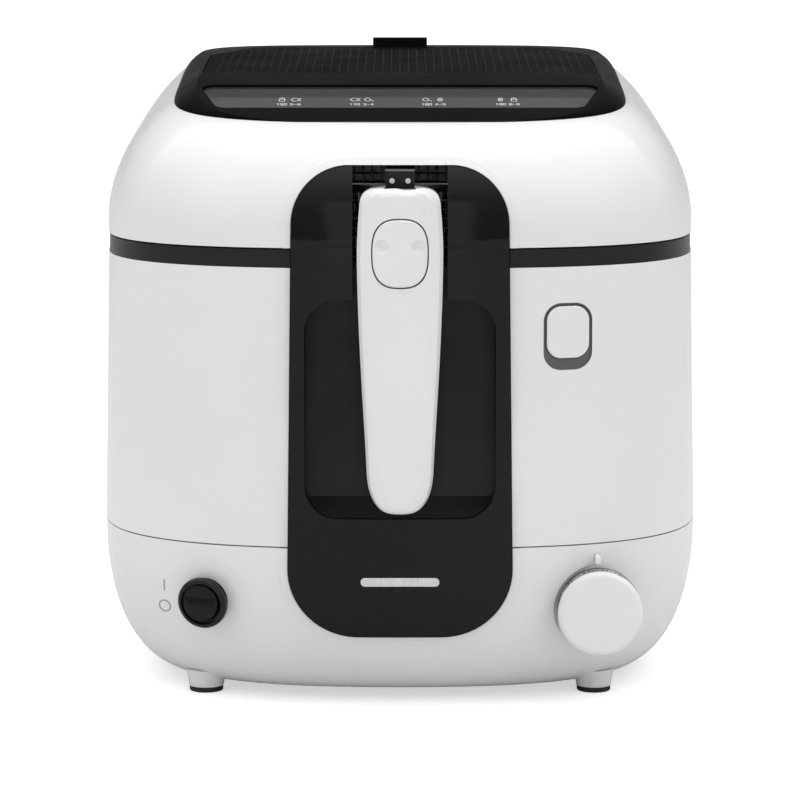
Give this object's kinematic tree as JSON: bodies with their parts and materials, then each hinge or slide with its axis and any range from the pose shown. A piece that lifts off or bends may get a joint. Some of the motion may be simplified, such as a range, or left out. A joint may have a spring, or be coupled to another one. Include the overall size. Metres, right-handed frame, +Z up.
{
  "type": "deep fryer",
  "caption": "Household deep fryer: rounded rectangular body, hinged lid with viewing window and dotted filter cover, folding front basket handle, temperature knob and round power switch.",
  "frame": {"origin": "centre of the whole outline, folded handle and rear hinge included, at the height of the surface it stands on", "axes": "+X to the right of someone facing the front panel, +Y from the front panel to the rear hinge, +Z up"},
  "size_m": [0.2874, 0.3468, 0.302],
  "materials": {
    "white_plastic": "high gloss",
    "black_plastic": "satin",
    "gloss_black": "high gloss",
    "badge_silver": "satin",
    "zinc_sheet": "zinc plated",
    "foot_rubber": "matte",
    "screw_steel": "bright zinc",
    "grey_plastic": "satin",
    "copper": "plain",
    "lens": "translucent",
    "spring_steel": "plain",
    "bowl_coating": "non-stick coating",
    "element_steel": "heat tinted",
    "ceramic_white": "glazed",
    "wire_sleeve": "glass sleeving",
    "liner_aluminium": "satin",
    "seal_rubber": "silicone",
    "window_glass": "smoked, polished",
    "filter_steel": "mesh",
    "basket_steel": "bright wire"
  },
  "bodies": {
    "base": {"base_shell": "white_plastic", "body_shell": "white_plastic", "rim_band": "black_plastic", "front_panel": "gloss_black", "handle_well": "black_plastic", "badge_strip": "badge_silver", "bottom_plate": "zinc_sheet", "foot_pads": "foot_rubber", "base_screws": "screw_steel", "switch_bezel": "black_plastic", "switch_housing": "black_plastic", "thermostat_body": "black_plastic", "sensor_bulb": "copper", "pilot_lens": "lens", "button_surround": "grey_plastic", "lid_button_spring": "spring_steel", "latch_bracket": "black_plastic", "latch_pin": "screw_steel", "bowl": "bowl_coating", "heating_element": "element_steel", "heat_shield": "zinc_sheet", "thermal_fuse": "ceramic_white", "terminal_block": "ceramic_white", "cord_outlet": "black_plastic", "wiring_harness": "wire_sleeve", "hinge_bracket": "black_plastic", "hinge_pin": "screw_steel"},
    "lid": {"lid_shell": "white_plastic", "lid_liner": "liner_aluminium", "lid_gasket": "seal_rubber", "lid_screws": "screw_steel", "lid_striker": "zinc_sheet", "top_cover": "gloss_black", "viewing_window": "window_glass", "grease_filter": "filter_steel", "hinge_knuckle": "black_plastic"},
    "filter_cover": {"filter_cover": "black_plastic"},
    "knob": {"knob_cap": "white_plastic", "knob_skirt": "grey_plastic", "thermostat_shaft": "screw_steel"},
    "rocker": {"power_rocker": "gloss_black"},
    "lid_button": {"lid_button": "white_plastic"},
    "latch": {"lid_latch": "black_plastic"},
    "basket": {"basket_mesh": "basket_steel", "basket_rim": "basket_steel", "basket_arm": "black_plastic", "arm_rivets": "screw_steel"},
    "handle": {"handle_shell": "white_plastic", "handle_back": "white_plastic", "handle_screws": "screw_steel", "handle_pin": "screw_steel", "handle_spring": "spring_steel"},
    "handle_button": {"handle_button": "white_plastic"},
    "handle_bolt": {"handle_bolt": "grey_plastic"}
  },
  "joints": [
    {"name": "lid_open", "type": "hinge", "parent": "base", "child": "lid", "pos_m": [0, 0.1669, 0.212], "axis": [-1, 0, 0], "range_deg": [0, 84]},
    {"name": "filter_cover_lift", "type": "slide", "parent": "lid", "child": "filter_cover", "axis": [0, 0, 1], "range_m": [0, 0.04]},
    {"name": "knob_turn", "type": "hinge", "parent": "base", "child": "knob", "pos_m": [0.0922, -0.1441, 0.0464], "axis": [0, 1, 0], "range_deg": [0, 270]},
    {"name": "power_rock", "type": "hinge", "parent": "base", "child": "rocker", "pos_m": [-0.0909, -0.1381, 0.05], "axis": [0.9407, -0.3393, 0.0001], "range_deg": [0, 16]},
    {"name": "lid_button_press", "type": "slide", "parent": "base", "child": "lid_button", "axis": [0, 1, 0], "range_m": [0, 0.002], "stiffness_N_per_m": 400, "deforming": ["lid_button_spring"]},
    {"name": "latch_rock", "type": "hinge", "parent": "base", "child": "latch", "pos_m": [0.0768, -0.1286, 0.196], "axis": [1, 0, 0], "range_deg": [0, 4.6]},
    {"name": "basket_sink", "type": "slide", "parent": "base", "child": "basket", "axis": [0, 0, -1], "range_m": [0, 0.04]},
    {"name": "handle_fold", "type": "hinge", "parent": "basket", "child": "handle", "pos_m": [0, -0.1621, 0.239], "axis": [-1, 0, 0], "range_deg": [0, 90]},
    {"name": "handle_button_press", "type": "slide", "parent": "handle", "child": "handle_button", "axis": [0, 1, 0], "range_m": [0, 0.002], "stiffness_N_per_m": 400, "deforming": ["handle_spring"]},
    {"name": "handle_bolt_draw", "type": "slide", "parent": "handle", "child": "handle_bolt", "axis": [0, 0, -1], "range_m": [0, 0.002]}
  ],
  "couplings": [
    {"joint": "latch_rock", "follows": "lid_button_press", "rad_per_m": 40},
    {"joint": "handle_bolt_draw", "follows": "handle_button_press", "ratio": 1}
  ]
}
